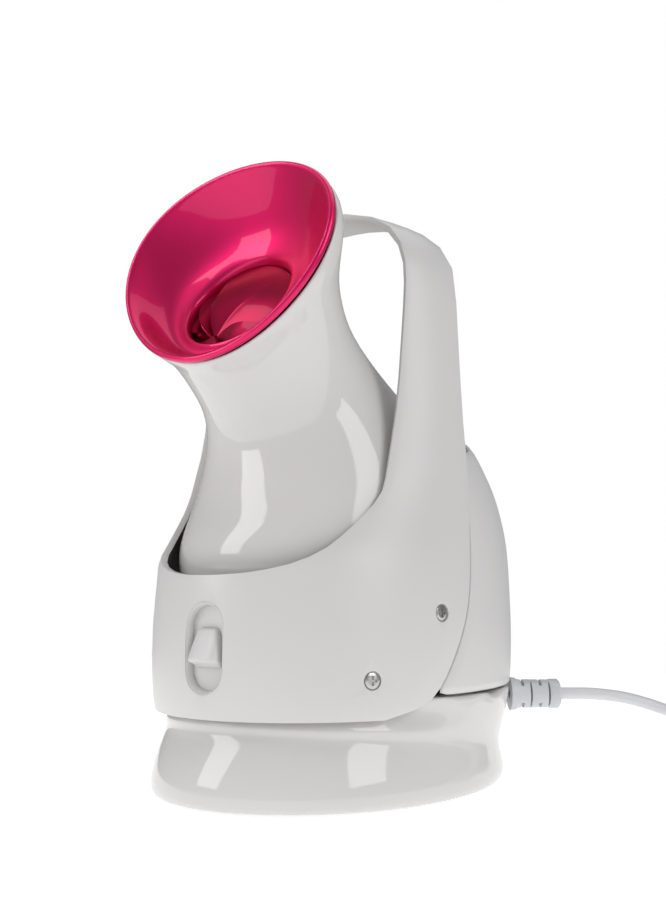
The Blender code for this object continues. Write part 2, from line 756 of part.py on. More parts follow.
# ---------------------------------------------------------------- switch
def make_switch():
    """Guide plate, ribbed slide knob and the switch body behind them."""
    slot_height = 2 * (STEM_HALF_HEIGHT + KNOB_TRAVEL + GAP)
    plate = add_part("switch_plate", oval_solid("switch_plate", 0.0104, 0.0185, SWITCH_HEIGHT,
                                                FLOOR_Y, FLOOR_Y + 0.0014), PLASTIC_WHITE, 0.4)
    boolean(plate, add_cutter("switch_slot", box_mesh(
        "switch_slot", (0.0050, 0.010, slot_height), (0, FLOOR_Y, SWITCH_HEIGHT))))
    body = box_mesh("slide_switch", (0.0120, 0.0056, 0.0290), (0, FLOOR_Y + 0.0047, SWITCH_HEIGHT),
                    0.0004)
    add_part("slide_switch", body, DARK, 0.5)
    face = FLOOR_Y - GAP
    low, high = SWITCH_HEIGHT - KNOB_HALF_HEIGHT, SWITCH_HEIGHT + KNOB_HALF_HEIGHT
    ledge_y, brow_y = -0.0854, -0.0812
    outline = (
        (face, low),
        (ledge_y + 0.0010, low),
        (ledge_y, low + 0.0012),
        (ledge_y + 0.0010, low + 0.0027),
        (ledge_y + 0.0022, low + 0.0067),
        (brow_y - 0.0006, high - 0.0006),
        (brow_y, high),
        (face, high),
    )
    knob = add_part("switch_knob", outline_solid("switch_knob", outline, -KNOB_HALF_WIDTH,
                                                 KNOB_HALF_WIDTH), PLASTIC_WHITE, 0.35)
    stem = box_mesh("switch_stem", (0.0040, 0.0024, 2 * STEM_HALF_HEIGHT),
                    (0, face + 0.0005, SWITCH_HEIGHT))
    boolean(knob, add_cutter("switch_stem", stem), "UNION")


# ---------------------------------------------------------------- boiler and electrics
def make_boiler():
    """Stand, heater, tank, lid and seals inside the tower."""
    stand = ((0.0285, 0.0), (0.0340, 0.0), (0.0340, 0.0016), (0.0315, 0.0016), (0.0315, 0.0166),
             (0.0285, 0.0166))
    add_part("boiler_stand", turned_mesh("boiler_stand", stand, (0, 0, DECK_TOP + GAP), (0, 0, 1)),
             GREY, 0.5)
    heater = ((0.0, 0.0), (0.0300, 0.0), (0.0300, 0.0040), (0.0, 0.0040))
    add_part("heater_plate", turned_mesh("heater_plate", heater, (0, 0, 0.0560), (0, 0, 1)),
             STEEL, 0.4, 1.0)
    tank = ((0.0, 0.0), (TANK_RADIUS, 0.0), (TANK_RADIUS + 0.0020, 0.0540),
            (TANK_RADIUS, 0.0540), (TANK_RADIUS - 0.0020, 0.0020), (0.0, 0.0020))
    add_part("water_tank", turned_mesh("water_tank", tank, (0, 0, 0.0604), (0, 0, 1), 28),
             GREY, 0.4)
    seal = ((TANK_RADIUS - 0.0010, 0.0), (TANK_RADIUS + 0.0024, 0.0),
            (TANK_RADIUS + 0.0024, 0.0014), (TANK_RADIUS - 0.0010, 0.0014))
    add_part("tank_seal", turned_mesh("tank_seal", seal, (0, 0, 0.1148), (0, 0, 1), 28), DARK, 0.8)
    lid = ((0.0100, 0.0150), (0.0080, 0.0150), (0.0080, 0.0090), (0.0390, 0.0010),
           (0.0390, 0.0), (TANK_RADIUS + 0.0024, 0.0), (TANK_RADIUS + 0.0024, 0.0024),
           (0.0100, 0.0112))
    add_part("tank_lid", turned_mesh("tank_lid", lid, (0, 0, 0.1166), (0, 0, 1), 28),
             PLASTIC_WHITE, 0.4)
    thermostat = ((0.0, 0.0), (0.0080, 0.0), (0.0080, 0.0060), (0.0, 0.0060))
    add_part("thermostat", turned_mesh("thermostat", thermostat, (0.012, 0, 0.0496), (0, 0, 1), 20),
             STEEL, 0.4, 1.0)
    fuse = ((0.0, 0.0), (0.0020, 0.0), (0.0020, 0.0100), (0.0, 0.0100))
    add_part("thermal_fuse", turned_mesh("thermal_fuse", fuse, (-0.012, -0.005, 0.0530), (0, 1, 0),
                                         12), STEEL, 0.4, 1.0)


def make_electrics():
    """Board with its parts, the ioniser and the cord's clamp in the lower housing."""
    board_top = 0.0126
    add_part("control_board", box_mesh("control_board", (0.066, 0.054, 0.0016),
                                       (0, -0.004, board_top - 0.0008)), (0.02, 0.20, 0.08), 0.5)
    on_board = board_top + 0.0003
    add_part("transformer", box_mesh("transformer", (0.020, 0.018, 0.0150),
                                     (-0.018, 0.006, on_board + 0.0075), 0.0006), DARK, 0.5)
    add_part("ioniser_module", box_mesh("ioniser_module", (0.026, 0.016, 0.0120),
                                        (0.014, -0.016, on_board + 0.0060), 0.0006), DARK, 0.4)
    relay_centre = (0.018, 0.010, on_board + 0.0045)
    add_part("relay", box_mesh("relay", (0.012, 0.016, 0.0090), relay_centre, 0.0004),
             (0.05, 0.15, 0.45), 0.4)
    for number, x in enumerate((-0.024, -0.014), 1):
        name = f"capacitor_{number}"
        mesh = cylinder_mesh(name, 0.0035, (x, -0.020, on_board), (x, -0.020, on_board + 0.009), 16)
        add_part(name, mesh, (0.05, 0.05, 0.20), 0.4)
    for number, (x, y) in enumerate(((-0.029, -0.027), (0.029, -0.027), (-0.029, 0.019),
                                     (0.029, 0.019)), 1):
        name = f"board_post_{number}"
        add_part(name, cylinder_mesh(name, 0.0025, (x, y, 0.0039), (x, y, 0.0107), 10),
                 PLASTIC_WHITE, 0.5)
    place, outward = cord_exit()
    clamp_centre = place - outward * 0.0175
    clamp_centre.z = 0.0300
    clamp = box_mesh("cord_clamp", (0.016, 0.010, 0.0100), clamp_centre, 0.0008)
    add_part("cord_clamp", clamp, PLASTIC_WHITE, 0.5)


# ---------------------------------------------------------------- cord and what is on it
def cord_exit():
    """Point on the skin where the cord leaves, and the outward direction."""
    outward = Vector((math.cos(CORD_EXIT_ANGLE), math.sin(CORD_EXIT_ANGLE), 0))
    width, depth, middle = section_at(SKIN, CORD_EXIT_HEIGHT)
    scale = 1 / math.sqrt((outward.x * width) ** 2 + (outward.y * depth) ** 2)
    place = Vector((outward.x * width ** 2 * scale, middle + outward.y * depth ** 2 * scale,
                    CORD_EXIT_HEIGHT))
    return place, outward


def make_strain_relief():
    """Tapered boot with a conical collar, a stub through the wall and cross slots."""
    place, outward = cord_exit()
    start = place + outward * 0.0018
    bore = CORD_RADIUS * 0.62
    profile = ((bore, -0.0080), (0.0028, -0.0080), (0.0028, 0.0), (0.0073, 0.0),
               (0.0066, 0.0030), (0.0060, RELIEF_LENGTH), (bore, RELIEF_LENGTH))
    part = add_part("strain_relief", turned_mesh("strain_relief", profile, start, outward, 28),
                    GREY, 0.5)
    sideways = Vector((-outward.y, outward.x, 0))
    slots = []
    for number in range(4):
        middle = start + outward * (0.0060 + 0.0042 * number)
        side = 1 if number % 2 else -1
        for level in (1, -1):
            box = box_mesh("slot", (0.0014, 0.0090, 0.0040),
                           Vector((0, side * 0.0030, level * 0.0057)))
            turn = Matrix((outward, sideways, Vector((0, 0, 1)))).transposed().to_4x4()
            box.transform(Matrix.Translation(middle) @ turn)
            slots.append(box)
    boolean(part, add_cutter("relief_slots", join_meshes("relief_slots", slots)))
    return start + outward * RELIEF_LENGTH, outward, sideways


def make_cord(tip, outward, sideways):
    """Cord from the boot down to the table, its stored coil, the tie and the plug."""
    drop = ((0.0003, 0.0328), (0.014, 0.0327), (0.030, 0.0308), (0.046, 0.0262), (0.060, 0.0210),
            (0.0765, 0.0164))
    side_drift = (0.0, 0.0, 0.0, 0.0, 0.0, 0.0006)
    ground = Vector((tip.x, tip.y, 0))
    route = [ground + outward * along + sideways * side + Vector((0, 0, height))
             for (along, height), side in zip(drop, side_drift)]
    add_part("mains_cord", tube_mesh("mains_cord", smooth_rows(route, 24), CORD_RADIUS, 2),
             (0.7, 0.7, 0.7), 0.4)
    centre = ground + outward * COIL_AHEAD + sideways * COIL_ASIDE
    inner, outer = COIL_RADIUS - COIL_HALF_WIDTH, COIL_RADIUS + COIL_HALF_WIDTH
    top = COIL_BOTTOM + COIL_HEIGHT
    chamfer = 0.0024
    profile = ((inner, COIL_BOTTOM + chamfer), (inner + chamfer, COIL_BOTTOM),
               (outer - chamfer, COIL_BOTTOM), (outer, COIL_BOTTOM + chamfer),
               (outer, top - chamfer), (outer - chamfer, top), (inner + chamfer, top),
               (inner, top - chamfer))
    add_part("cord_coil", turned_mesh("cord_coil", profile, centre, (0, 0, 1), 28),
             (0.7, 0.7, 0.7), 0.4)
    turn = Matrix((outward, sideways, Vector((0, 0, 1)))).transposed().to_4x4()
    make_tie(centre, turn, top)
    make_plug(centre, turn)


def make_tie(centre, turn, top):
    """Band round the coil's turns."""
    middle_z = (COIL_BOTTOM + top) / 2
    beside, above, wall = 0.0008, 0.0003, 0.0008
    inner_size = Vector((0.0100, 2 * (COIL_HALF_WIDTH + beside), COIL_HEIGHT + 2 * above))
    outer_size = Vector((0.0060, inner_size.y + 2 * wall, inner_size.z + 2 * wall))
    place = Matrix.Translation(centre) @ turn @ Matrix.Translation((0, COIL_RADIUS, middle_z))
    band = box_mesh("cord_tie", outer_size, Vector((0, 0, 0)))
    band.transform(place)
    window = box_mesh("tie_window", inner_size, Vector((0, 0, 0)))
    window.transform(place)
    boolean(add_part("cord_tie", band, (0.75, 0.75, 0.75), 0.6), add_cutter("tie_window", window))


def make_plug(centre, turn):
    """Flat two-pin plug that lies in front of the coil."""
    place = (Matrix.Translation(centre) @ turn @ Matrix.Rotation(PLUG_TURN, 4, "Z")
             @ Matrix.Translation((COIL_RADIUS + 0.0052, PLUG_LEAD, PLUG_HEIGHT)))
    outlines = []
    for distance, half_width, half_height in ((0.0, 0.0042, 0.0038), (0.0100, 0.0048, 0.0044),
                                              (0.0160, 0.0105, 0.0062), (0.0240, 0.0125, 0.0066),
                                              (0.0360, 0.0172, 0.0066)):
        loop = []
        for i in range(28):
            angle = 2 * math.pi * i / 28
            x = half_width * math.copysign(abs(math.cos(angle)) ** 0.6, math.cos(angle))
            z = half_height * math.copysign(abs(math.sin(angle)) ** 0.6, math.sin(angle))
            loop.append(Vector((x, distance, z)))
        outlines.append(loop)
    mesh = loft_mesh("mains_plug", outlines, True, True)
    mesh.transform(place)
    add_part("mains_plug", mesh, (0.75, 0.75, 0.75), 0.5)
    for number, x in enumerate((-0.0093, 0.0093), 1):
        name = f"plug_pin_{number}"
        pin = cylinder_mesh(name, 0.0020, (x, 0.0363, 0), (x, 0.0550, 0), 16)
        pin.transform(place)
        add_part(name, pin, STEEL, 0.25, 1.0)


# ---------------------------------------------------------------- joints' guides
def parent_to_axis(empty_name, place, children):
    """Parent pieces to an empty that stands on their joint's axis."""
    empty = bpy.data.objects.new(empty_name, None)
    empty.location = place
    PARTS.objects.link(empty)
    for child in children:
        bpy.data.objects[child].parent = empty
        bpy.data.objects[child].matrix_parent_inverse = Matrix.Translation(place).inverted()


make_foot_base()
make_base_plate()
make_base_fittings()
make_front_wrap()
make_side_screws()
make_back_cover()
make_steam_tower()
make_nozzle_funnel()
make_throat_vanes()
make_steam_path()
make_switch()
make_boiler()
make_electrics()
make_cord(*make_strain_relief())
for moved in (*PARTS.objects, *CUTTERS.objects):
    moved.data.transform(Matrix.Translation(ORIGIN_SHIFT))
parent_to_axis("knob_slide_axis", Vector((0, FLOOR_Y, SWITCH_HEIGHT)) + ORIGIN_SHIFT,
               ["switch_knob"])
parent_to_axis("funnel_pull_axis", THROAT_CENTRE + ORIGIN_SHIFT,
               ["nozzle_funnel", "throat_vanes", "funnel_seal"])
bpy.context.view_layer.update()
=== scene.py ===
import math

import bmesh
import bpy
from mathutils import Matrix, Vector


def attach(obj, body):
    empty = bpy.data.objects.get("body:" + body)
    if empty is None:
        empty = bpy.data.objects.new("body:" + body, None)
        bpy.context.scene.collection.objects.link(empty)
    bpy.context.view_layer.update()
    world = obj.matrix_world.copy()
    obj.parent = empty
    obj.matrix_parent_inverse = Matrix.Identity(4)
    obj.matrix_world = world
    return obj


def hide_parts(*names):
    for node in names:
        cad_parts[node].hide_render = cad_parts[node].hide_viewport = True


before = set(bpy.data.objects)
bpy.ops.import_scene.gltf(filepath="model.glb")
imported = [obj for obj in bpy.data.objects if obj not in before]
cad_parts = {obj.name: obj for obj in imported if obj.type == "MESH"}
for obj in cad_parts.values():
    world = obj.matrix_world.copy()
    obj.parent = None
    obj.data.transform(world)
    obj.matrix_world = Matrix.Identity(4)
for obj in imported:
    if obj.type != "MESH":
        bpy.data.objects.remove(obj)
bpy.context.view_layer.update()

bpy.ops.object.select_all(action="DESELECT")

# ---------------------------------------------------------------- Studio
# A white table, a white room, a tall softbox on each side and a wide one above.
# The eye is low, on the cord's side of the switch, and looks a little upwards.
EYE_AZIMUTH = math.radians(34.0)
EYE_PITCH = math.radians(8.0)
EYE_DISTANCE = 0.443
BODY_SHIFT = Vector((0.0, -0.00155, 0.0))      # the body's axis from the origin
EYE_HEIGHT = 0.0745
EYE = BODY_SHIFT + Vector((EYE_DISTANCE * math.sin(EYE_AZIMUTH),
                           -EYE_DISTANCE * math.cos(EYE_AZIMUTH), EYE_HEIGHT))

camera_data = bpy.data.cameras.new("eye")
camera_data.sensor_fit = "VERTICAL"
camera_data.sensor_height = 36.0
camera_data.lens = 36.0 * 1030 / 908
camera_data.clip_start = 0.01
camera = bpy.data.objects.new("eye", camera_data)
bpy.context.scene.collection.objects.link(camera)
gaze = Vector((-math.sin(EYE_AZIMUTH) * math.cos(EYE_PITCH),
               math.cos(EYE_AZIMUTH) * math.cos(EYE_PITCH), math.sin(EYE_PITCH)))
camera.location = EYE
camera.rotation_euler = gaze.to_track_quat("-Z", "Y").to_euler()
bpy.context.scene.camera = camera
bpy.context.scene.view_settings.view_transform = "Standard"

bpy.ops.mesh.primitive_plane_add(size=1.35, location=(0, 0, 0))
table = bpy.context.object
table.name = "table"
table_paint = bpy.data.materials.new("table_paint")
table_paint.use_nodes = True
table_shader = table_paint.node_tree.nodes["Principled BSDF"]
table_shader.inputs["Base Color"].default_value = (0.58, 0.58, 0.58, 1)
table_shader.inputs["Roughness"].default_value = 0.9
table_shader.inputs["Emission Color"].default_value = (1, 1, 1, 1)
table_shader.inputs["Emission Strength"].default_value = 0.80
table.data.materials.append(table_paint)

room = bpy.data.worlds.new("room")
room.use_nodes = True
bpy.context.scene.world = room
room_nodes, room_links = room.node_tree.nodes, room.node_tree.links
room_nodes.clear()
seen = room_nodes.new("ShaderNodeBackground")
seen.inputs["Color"].default_value = (1, 1, 1, 1)
fill = room_nodes.new("ShaderNodeBackground")
fill.inputs["Color"].default_value = (0.97, 0.98, 1.0, 1)
fill.inputs["Strength"].default_value = 0.26
path = room_nodes.new("ShaderNodeLightPath")
either = room_nodes.new("ShaderNodeMixShader")
out = room_nodes.new("ShaderNodeOutputWorld")
room_links.new(path.outputs["Is Camera Ray"], either.inputs["Fac"])
room_links.new(fill.outputs["Background"], either.inputs[1])
room_links.new(seen.outputs["Background"], either.inputs[2])
room_links.new(either.outputs["Shader"], out.inputs["Surface"])


def softbox(name, azimuth, elevation, distance, width, height, power):
    """Rectangular light that faces the middle of the steamer."""
    light = bpy.data.lights.new(name, "AREA")
    light.shape = "RECTANGLE"
    light.size, light.size_y, light.energy = width, height, power
    lamp = bpy.data.objects.new(name, light)
    bpy.context.scene.collection.objects.link(lamp)
    az, el = math.radians(azimuth), math.radians(elevation)
    away = Vector((math.sin(az) * math.cos(el), -math.cos(az) * math.cos(el), math.sin(el)))
    lamp.location = Vector((0, 0, 0.12)) + away * distance
    lamp.rotation_euler = away.to_track_quat("Z", "Y").to_euler()


softbox("softbox_left", -33, 27, 1.10, 0.42, 0.90, 4.6)
softbox("softbox_right", 80, 24, 1.10, 0.42, 0.72, 3.4)
softbox("softbox_top", 150, 78, 1.20, 1.10, 1.10, 4.0)

# ---------------------------------------------------------------- Mains cord
# Round PVC lead that leaves the boot level, falls to the table, and is put
# away in a neat coil of eight turns with its plug in front of it.
OUTWARD = Vector((0.80902, 0.58779, 0.0))
SIDEWAYS = Vector((-0.58779, 0.80902, 0.0))
BOOT_START = Vector((0.05079, 0.06335, 0.0328))
BOOT_LENGTH = 0.0220
CORD_RADIUS = 0.0026
COIL_AHEAD = 0.1080
COIL_ASIDE = 0.0350
STEPS = 18                 # route points in one turn
CLIMB_START = 0.78         # share of a turn after which the lead changes layer
boot_tip = BOOT_START + OUTWARD * BOOT_LENGTH
ground = Vector((boot_tip.x, boot_tip.y, 0.0))
coil_centre = ground + OUTWARD * COIL_AHEAD + SIDEWAYS * COIL_ASIDE
cord_drop = ((0.0003, 0.0328, 0.0), (0.0070, 0.0328, 0.0), (0.0140, 0.0327, 0.0), (0.0220, 0.0320, 0.0),
             (0.0300, 0.0308, 0.0), (0.0380, 0.0288, 0.0), (0.0460, 0.0262, 0.0), (0.0530, 0.0236, 0.0),
             (0.0600, 0.0210, 0.0), (0.0680, 0.0186, 0.0002), (0.0765, 0.0164, 0.0006),
             (0.0850, 0.0146, 0.0009), (0.0960, 0.0130, 0.0011))
turn_radii = (0.0338, 0.0286, 0.0234, 0.0260, 0.0312, 0.0234, 0.0286, 0.0338)
turn_heights = (0.0125, 0.0125, 0.0125, 0.0081, 0.0081, 0.0038, 0.0038, 0.0038)
route = [ground + OUTWARD * a + SIDEWAYS * s + Vector((0, 0, z)) for a, z, s in cord_drop]
for step in range(1, 7 * STEPS + 14):
    turn, share = divmod(step / STEPS, 1.0)
    turn = int(turn)
    shift = max(0.0, (share - CLIMB_START) / (1 - CLIMB_START))
    shift = shift * shift * (3 - 2 * shift)
    after = min(turn + 1, len(turn_radii) - 1)
    radius = turn_radii[turn] + (turn_radii[after] - turn_radii[turn]) * shift
    height = turn_heights[turn] + (turn_heights[after] - turn_heights[turn]) * shift
    angle = 2 * math.pi * share - math.pi / 2
    route.append(coil_centre + OUTWARD * radius * math.cos(angle) + SIDEWAYS * radius * math.sin(angle)
                 + Vector((0, 0, height)))
leave_turn = math.radians(174)
leave_side = OUTWARD * math.cos(leave_turn) + SIDEWAYS * math.sin(leave_turn)
leave_point = coil_centre + leave_side * turn_radii[-1]
leave_heading = SIDEWAYS * math.cos(leave_turn) - OUTWARD * math.sin(leave_turn)
for straight, height in ((0.0, 0.0038), (0.0130, 0.0037), (0.0280, 0.0044), (0.0420, 0.0062),
                         (0.0547, 0.0070)):
    route.append(leave_point + leave_heading * straight + Vector((0, 0, height)))

cord_curve = bpy.data.curves.new("mains_lead", "CURVE")
cord_curve.dimensions = "3D"
cord_curve.bevel_depth = CORD_RADIUS
cord_curve.bevel_resolution = 5
cord_curve.resolution_u = 5
cord_curve.use_fill_caps = True
lead_spline = cord_curve.splines.new("BEZIER")
lead_spline.bezier_points.add(len(route) - 1)
for knot, place in zip(lead_spline.bezier_points, route):
    knot.co = place
    knot.handle_left_type = knot.handle_right_type = "AUTO"
mains_lead = bpy.data.objects.new("mains_lead", cord_curve)
bpy.context.scene.collection.objects.link(mains_lead)


# The grain that a mould leaves on plastic, and faint mottling of its colour
# and gloss.  Every moulding of the steamer has it, at its own scale.
def build_mould_grain():
    """Group that gives a height, a mask for the colour and a roughness."""
    group = bpy.data.node_groups.new("mould_grain", "ShaderNodeTree")
    face = group.interface
    for name, value in (("Grain Scale", 900.0), ("Mottle Scale", 30.0), ("Roughness", 0.3),
                        ("Spread", 0.05)):
        face.new_socket(name, in_out="INPUT", socket_type="NodeSocketFloat").default_value = value
    for name in ("Height", "Mottle", "Roughness"):
        face.new_socket(name, in_out="OUTPUT", socket_type="NodeSocketFloat")
    nodes, links = group.nodes, group.links
    enter, leave = nodes.new("NodeGroupInput"), nodes.new("NodeGroupOutput")
    place = nodes.new("ShaderNodeTexCoord")
    grain, mottle = nodes.new("ShaderNodeTexNoise"), nodes.new("ShaderNodeTexNoise")
    grain.inputs["Detail"].default_value = 3.0
    mottle.inputs["Detail"].default_value = 4.0
    for noise, scale in ((grain, "Grain Scale"), (mottle, "Mottle Scale")):
        links.new(place.outputs["Object"], noise.inputs["Vector"])
        links.new(enter.outputs[scale], noise.inputs["Scale"])
    swing = nodes.new("ShaderNodeMath")
    swing.operation = "MULTIPLY_ADD"
    centred = nodes.new("ShaderNodeMath")
    centred.operation = "SUBTRACT"
    centred.inputs[1].default_value = 0.5
    links.new(mottle.outputs["Fac"], centred.inputs[0])
    links.new(centred.outputs[0], swing.inputs[0])
    links.new(enter.outputs["Spread"], swing.inputs[1])
    links.new(enter.outputs["Roughness"], swing.inputs[2])
    links.new(grain.outputs["Fac"], leave.inputs["Height"])
    links.new(mottle.outputs["Fac"], leave.inputs["Mottle"])
    links.new(swing.outputs[0], leave.inputs["Roughness"])
    return group


mould_grain = build_mould_grain()


def moulding(name, colour, roughness, spread=0.05, grain=900.0, depth=0.02, tint=0.03, coat=0.0,
             metallic=0.0):
    """Moulded plastic of one colour, with mould grain and faint mottling."""
    paint = bpy.data.materials.new(name)
    paint.use_nodes = True
    nodes, links = paint.node_tree.nodes, paint.node_tree.links
    shader = nodes["Principled BSDF"]
    texture = nodes.new("ShaderNodeGroup")
    texture.node_tree = mould_grain
    texture.inputs["Grain Scale"].default_value = grain
    texture.inputs["Roughness"].default_value = roughness
    texture.inputs["Spread"].default_value = spread
    mix = nodes.new("ShaderNodeMix")
    mix.data_type = "RGBA"
    mix.inputs["A"].default_value = (*[c * (1 - tint) for c in colour], 1)
    mix.inputs["B"].default_value = (*[min(1.0, c * (1 + tint)) for c in colour], 1)
    links.new(texture.outputs["Mottle"], mix.inputs["Factor"])
    links.new(mix.outputs["Result"], shader.inputs["Base Color"])
    links.new(texture.outputs["Roughness"], shader.inputs["Roughness"])
    bump = nodes.new("ShaderNodeBump")
    bump.inputs["Strength"].default_value = depth
    bump.inputs["Distance"].default_value = 0.0002
    links.new(texture.outputs["Height"], bump.inputs["Height"])
    links.new(bump.outputs["Normal"], shader.inputs["Normal"])
    shader.inputs["Metallic"].default_value = metallic
    shader.inputs["Coat Weight"].default_value = coat
    shader.inputs["Coat Roughness"].default_value = 0.03
    return paint


def paint_node(material, *names):
    """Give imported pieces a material."""
    for name in names:
        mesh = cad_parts[name].data
        mesh.materials.clear()
        mesh.materials.append(material)


def rounded_copy(node, name, levels, material):
    """Copy a packed moulding, rejoin its triangles into quads and round it off."""
    shape = bmesh.new()
    shape.from_mesh(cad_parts[node].data)
    bmesh.ops.remove_doubles(shape, verts=shape.verts, dist=0.00001)
    bmesh.ops.join_triangles(shape, faces=shape.faces, angle_face_threshold=0.6, angle_shape_threshold=3.14)
    mesh = bpy.data.meshes.new(name)
    shape.to_mesh(mesh)
    shape.free()
    for layer in ("custom_normal", "sharp_face", "sharp_edge"):
        if layer in mesh.attributes:
            mesh.attributes.remove(mesh.attributes[layer])
    piece = bpy.data.objects.new(name, mesh)
    bpy.context.scene.collection.objects.link(piece)
    bpy.context.view_layer.objects.active = piece
    if levels:
        rounding = piece.modifiers.new("rounding", "SUBSURF")
        rounding.levels = rounding.render_levels = levels
        bpy.ops.object.modifier_apply(modifier=rounding.name)
    mesh = piece.data
    mesh.materials.clear()
    mesh.materials.append(material)
    mesh.shade_smooth()
    return piece


soft_grey_pvc = moulding("soft_grey_pvc", (0.70, 0.70, 0.72), 0.36, grain=1400.0, depth=0.05)
cord_curve.materials.append(soft_grey_pvc)
mains_plug = rounded_copy("mains_plug", "moulded_plug", 1, soft_grey_pvc)
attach(mains_plug, "housing")
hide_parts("mains_plug")

pin_metal = bpy.data.materials.new("pin_metal")
pin_metal.use_nodes = True
pin_shader = pin_metal.node_tree.nodes["Principled BSDF"]
pin_shader.inputs["Base Color"].default_value = (0.78, 0.76, 0.70, 1)
pin_shader.inputs["Metallic"].default_value = 1.0
pin_shader.inputs["Roughness"].default_value = 0.22
paint_node(pin_metal, "plug_pin_1", "plug_pin_2")
paint_node(soft_grey_pvc, "cord_tie")
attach(mains_lead, "housing")
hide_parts("mains_cord", "cord_coil")

# ---------------------------------------------------------------- Cord boot
# Soft PVC boot moulded round the lead.  Cuts from above, below and the sides
# let it bend, and a wider collar holds it in the seam of the housing.
bpy.ops.object.select_all(action="DESELECT")
boot_turn = Matrix((OUTWARD, SIDEWAYS, Vector((0, 0, 1)))).transposed().to_4x4()


def cutting_block(along, aside, up, size):
    """Box that a slot is cut with, in the piece's own frame."""
    bpy.ops.mesh.primitive_cube_add(size=1.0)
    block = bpy.context.object
    block.data.transform(Matrix.Diagonal((*size, 1.0)))
    block.data.transform(Matrix.Translation((along, aside, up)))
    return block


def cut_with(piece, cutters):
    """Take solids away from a piece."""
    for cutter in cutters:
        cut = piece.modifiers.new("cut", "BOOLEAN")
        cut.object, cut.solver = cutter, "EXACT"
        bpy.context.view_layer.objects.active = piece
        bpy.ops.object.modifier_apply(modifier=cut.name)
        bpy.data.objects.remove(cutter)


def ring_piece(name, loops, capped):
    """Piece whose skin runs through loops of points, joined end to end or capped."""
    shape = bmesh.new()
    rings = [[shape.verts.new(point) for point in loop] for loop in loops]
    count = len(rings[0])
    following = rings[1:] if capped else rings[1:] + rings[:1]
    for lower, upper in zip(rings, following):
        for i in range(count):
            shape.faces.new((lower[i], lower[(i + 1) % count], upper[(i + 1) % count], upper[i]))
    if capped:
        for end in (rings[0], rings[-1]):
            shape.faces.new(end)
    bmesh.ops.recalc_face_normals(shape, faces=shape.faces)
    mesh = bpy.data.meshes.new(name)
    shape.to_mesh(mesh)
    shape.free()
    piece = bpy.data.objects.new(name, mesh)
    bpy.context.scene.collection.objects.link(piece)
    return piece


BOOT_SIDES = 48
boot_profile = ((0.0020, 0.0), (0.0072, 0.0), (0.0070, 0.0022), (0.0062, 0.0036), (0.0061, 0.0172),
                (0.0064, 0.0178), (0.0064, 0.0212), (0.0056, BOOT_LENGTH), (0.0028, BOOT_LENGTH),
                (0.0026, 0.0150))
boot_angles = [2 * math.pi * i / BOOT_SIDES for i in range(BOOT_SIDES)]
boot = ring_piece("cord_boot", [[(along, radius * math.cos(a), radius * math.sin(a)) for a in boot_angles]
                                for radius, along in boot_profile], False)
cuts = []
for along in (0.0088, 0.0168):
    cuts += [cutting_block(along, side * 0.0052, 0.0, (0.0008, 0.0048, 0.0200)) for side in (1, -1)]
for along in (0.0052, 0.0130):
    cuts += [cutting_block(along, 0.0, level * 0.0058, (0.0013, 0.0200, 0.0042)) for level in (1, -1)]
cut_with(boot, cuts)
boot.data.transform(Matrix.Translation(BOOT_START) @ boot_turn)
soften = boot.modifiers.new("soften", "BEVEL")
soften.width, soften.segments = 0.00018, 2
soften.limit_method, soften.angle_limit = "ANGLE", math.radians(40)
bpy.context.view_layer.objects.active = boot
bpy.ops.object.modifier_apply(modifier=soften.name)
boot.data.shade_smooth()
boot.data.set_sharp_from_angle(angle=math.radians(40))
boot_pvc = moulding("boot_pvc", (0.62, 0.63, 0.66), 0.42, grain=1200.0, depth=0.06)
boot.data.materials.append(boot_pvc)
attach(boot, "housing")
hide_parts("strain_relief")

# ---------------------------------------------------------------- Lower housing
# Flared base with a pinched waist, moulded in glossy white ABS.  A flat cover
# closes it below and stands on four rubber feet.
gloss_white = moulding("gloss_white_abs", (0.68, 0.665, 0.655), 0.07, spread=0.04, grain=260.0,
                       depth=0.006, tint=0.01)
satin_white = moulding("satin_white_abs", (0.66, 0.648, 0.642), 0.36, spread=0.06, grain=1500.0,
                       depth=0.05, tint=0.012)
foot_skin = rounded_copy("foot_base", "foot_housing", 2, gloss_white)
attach(foot_skin, "housing")
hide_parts("foot_base")
paint_node(satin_white, "base_plate")
rubber = moulding("black_rubber", (0.03, 0.03, 0.03), 0.75, grain=1100.0, depth=0.2, tint=0.15)
paint_node(rubber, "rubber_foot_1", "rubber_foot_2", "rubber_foot_3", "rubber_foot_4")

# ---------------------------------------------------------------- Inside the housing
# The boiler, the control board and what is on it, closed in by the shells.
# They are plain mouldings, cased parts and pressed metal.
grey_nylon = moulding("grey_nylon", (0.42, 0.42, 0.42), 0.45, grain=1000.0, depth=0.08)
black_case = moulding("black_case", (0.03, 0.03, 0.035), 0.35, grain=1000.0, depth=0.08)
green_board = moulding("green_board", (0.02, 0.20, 0.08), 0.30, grain=700.0, depth=0.10, tint=0.2)
pressed_metal = moulding("pressed_metal", (0.60, 0.60, 0.62), 0.32, grain=900.0, depth=0.10, metallic=1.0)
clear_silicone = moulding("clear_silicone", (0.70, 0.70, 0.69), 0.50, grain=800.0, depth=0.08)
paint_node(grey_nylon, "boiler_stand", "water_tank", "tank_lid", "steam_pipe", "cord_clamp",
           "board_post_1", "board_post_2", "board_post_3", "board_post_4")
paint_node(black_case, "transformer", "ioniser_module", "relay", "capacitor_1", "capacitor_2",
           "slide_switch")
paint_node(green_board, "control_board")
paint_node(pressed_metal, "heater_plate", "thermostat", "thermal_fuse",
           "base_screw_1", "base_screw_2", "base_screw_3", "base_screw_4")
paint_node(clear_silicone, "tank_seal", "funnel_seal")

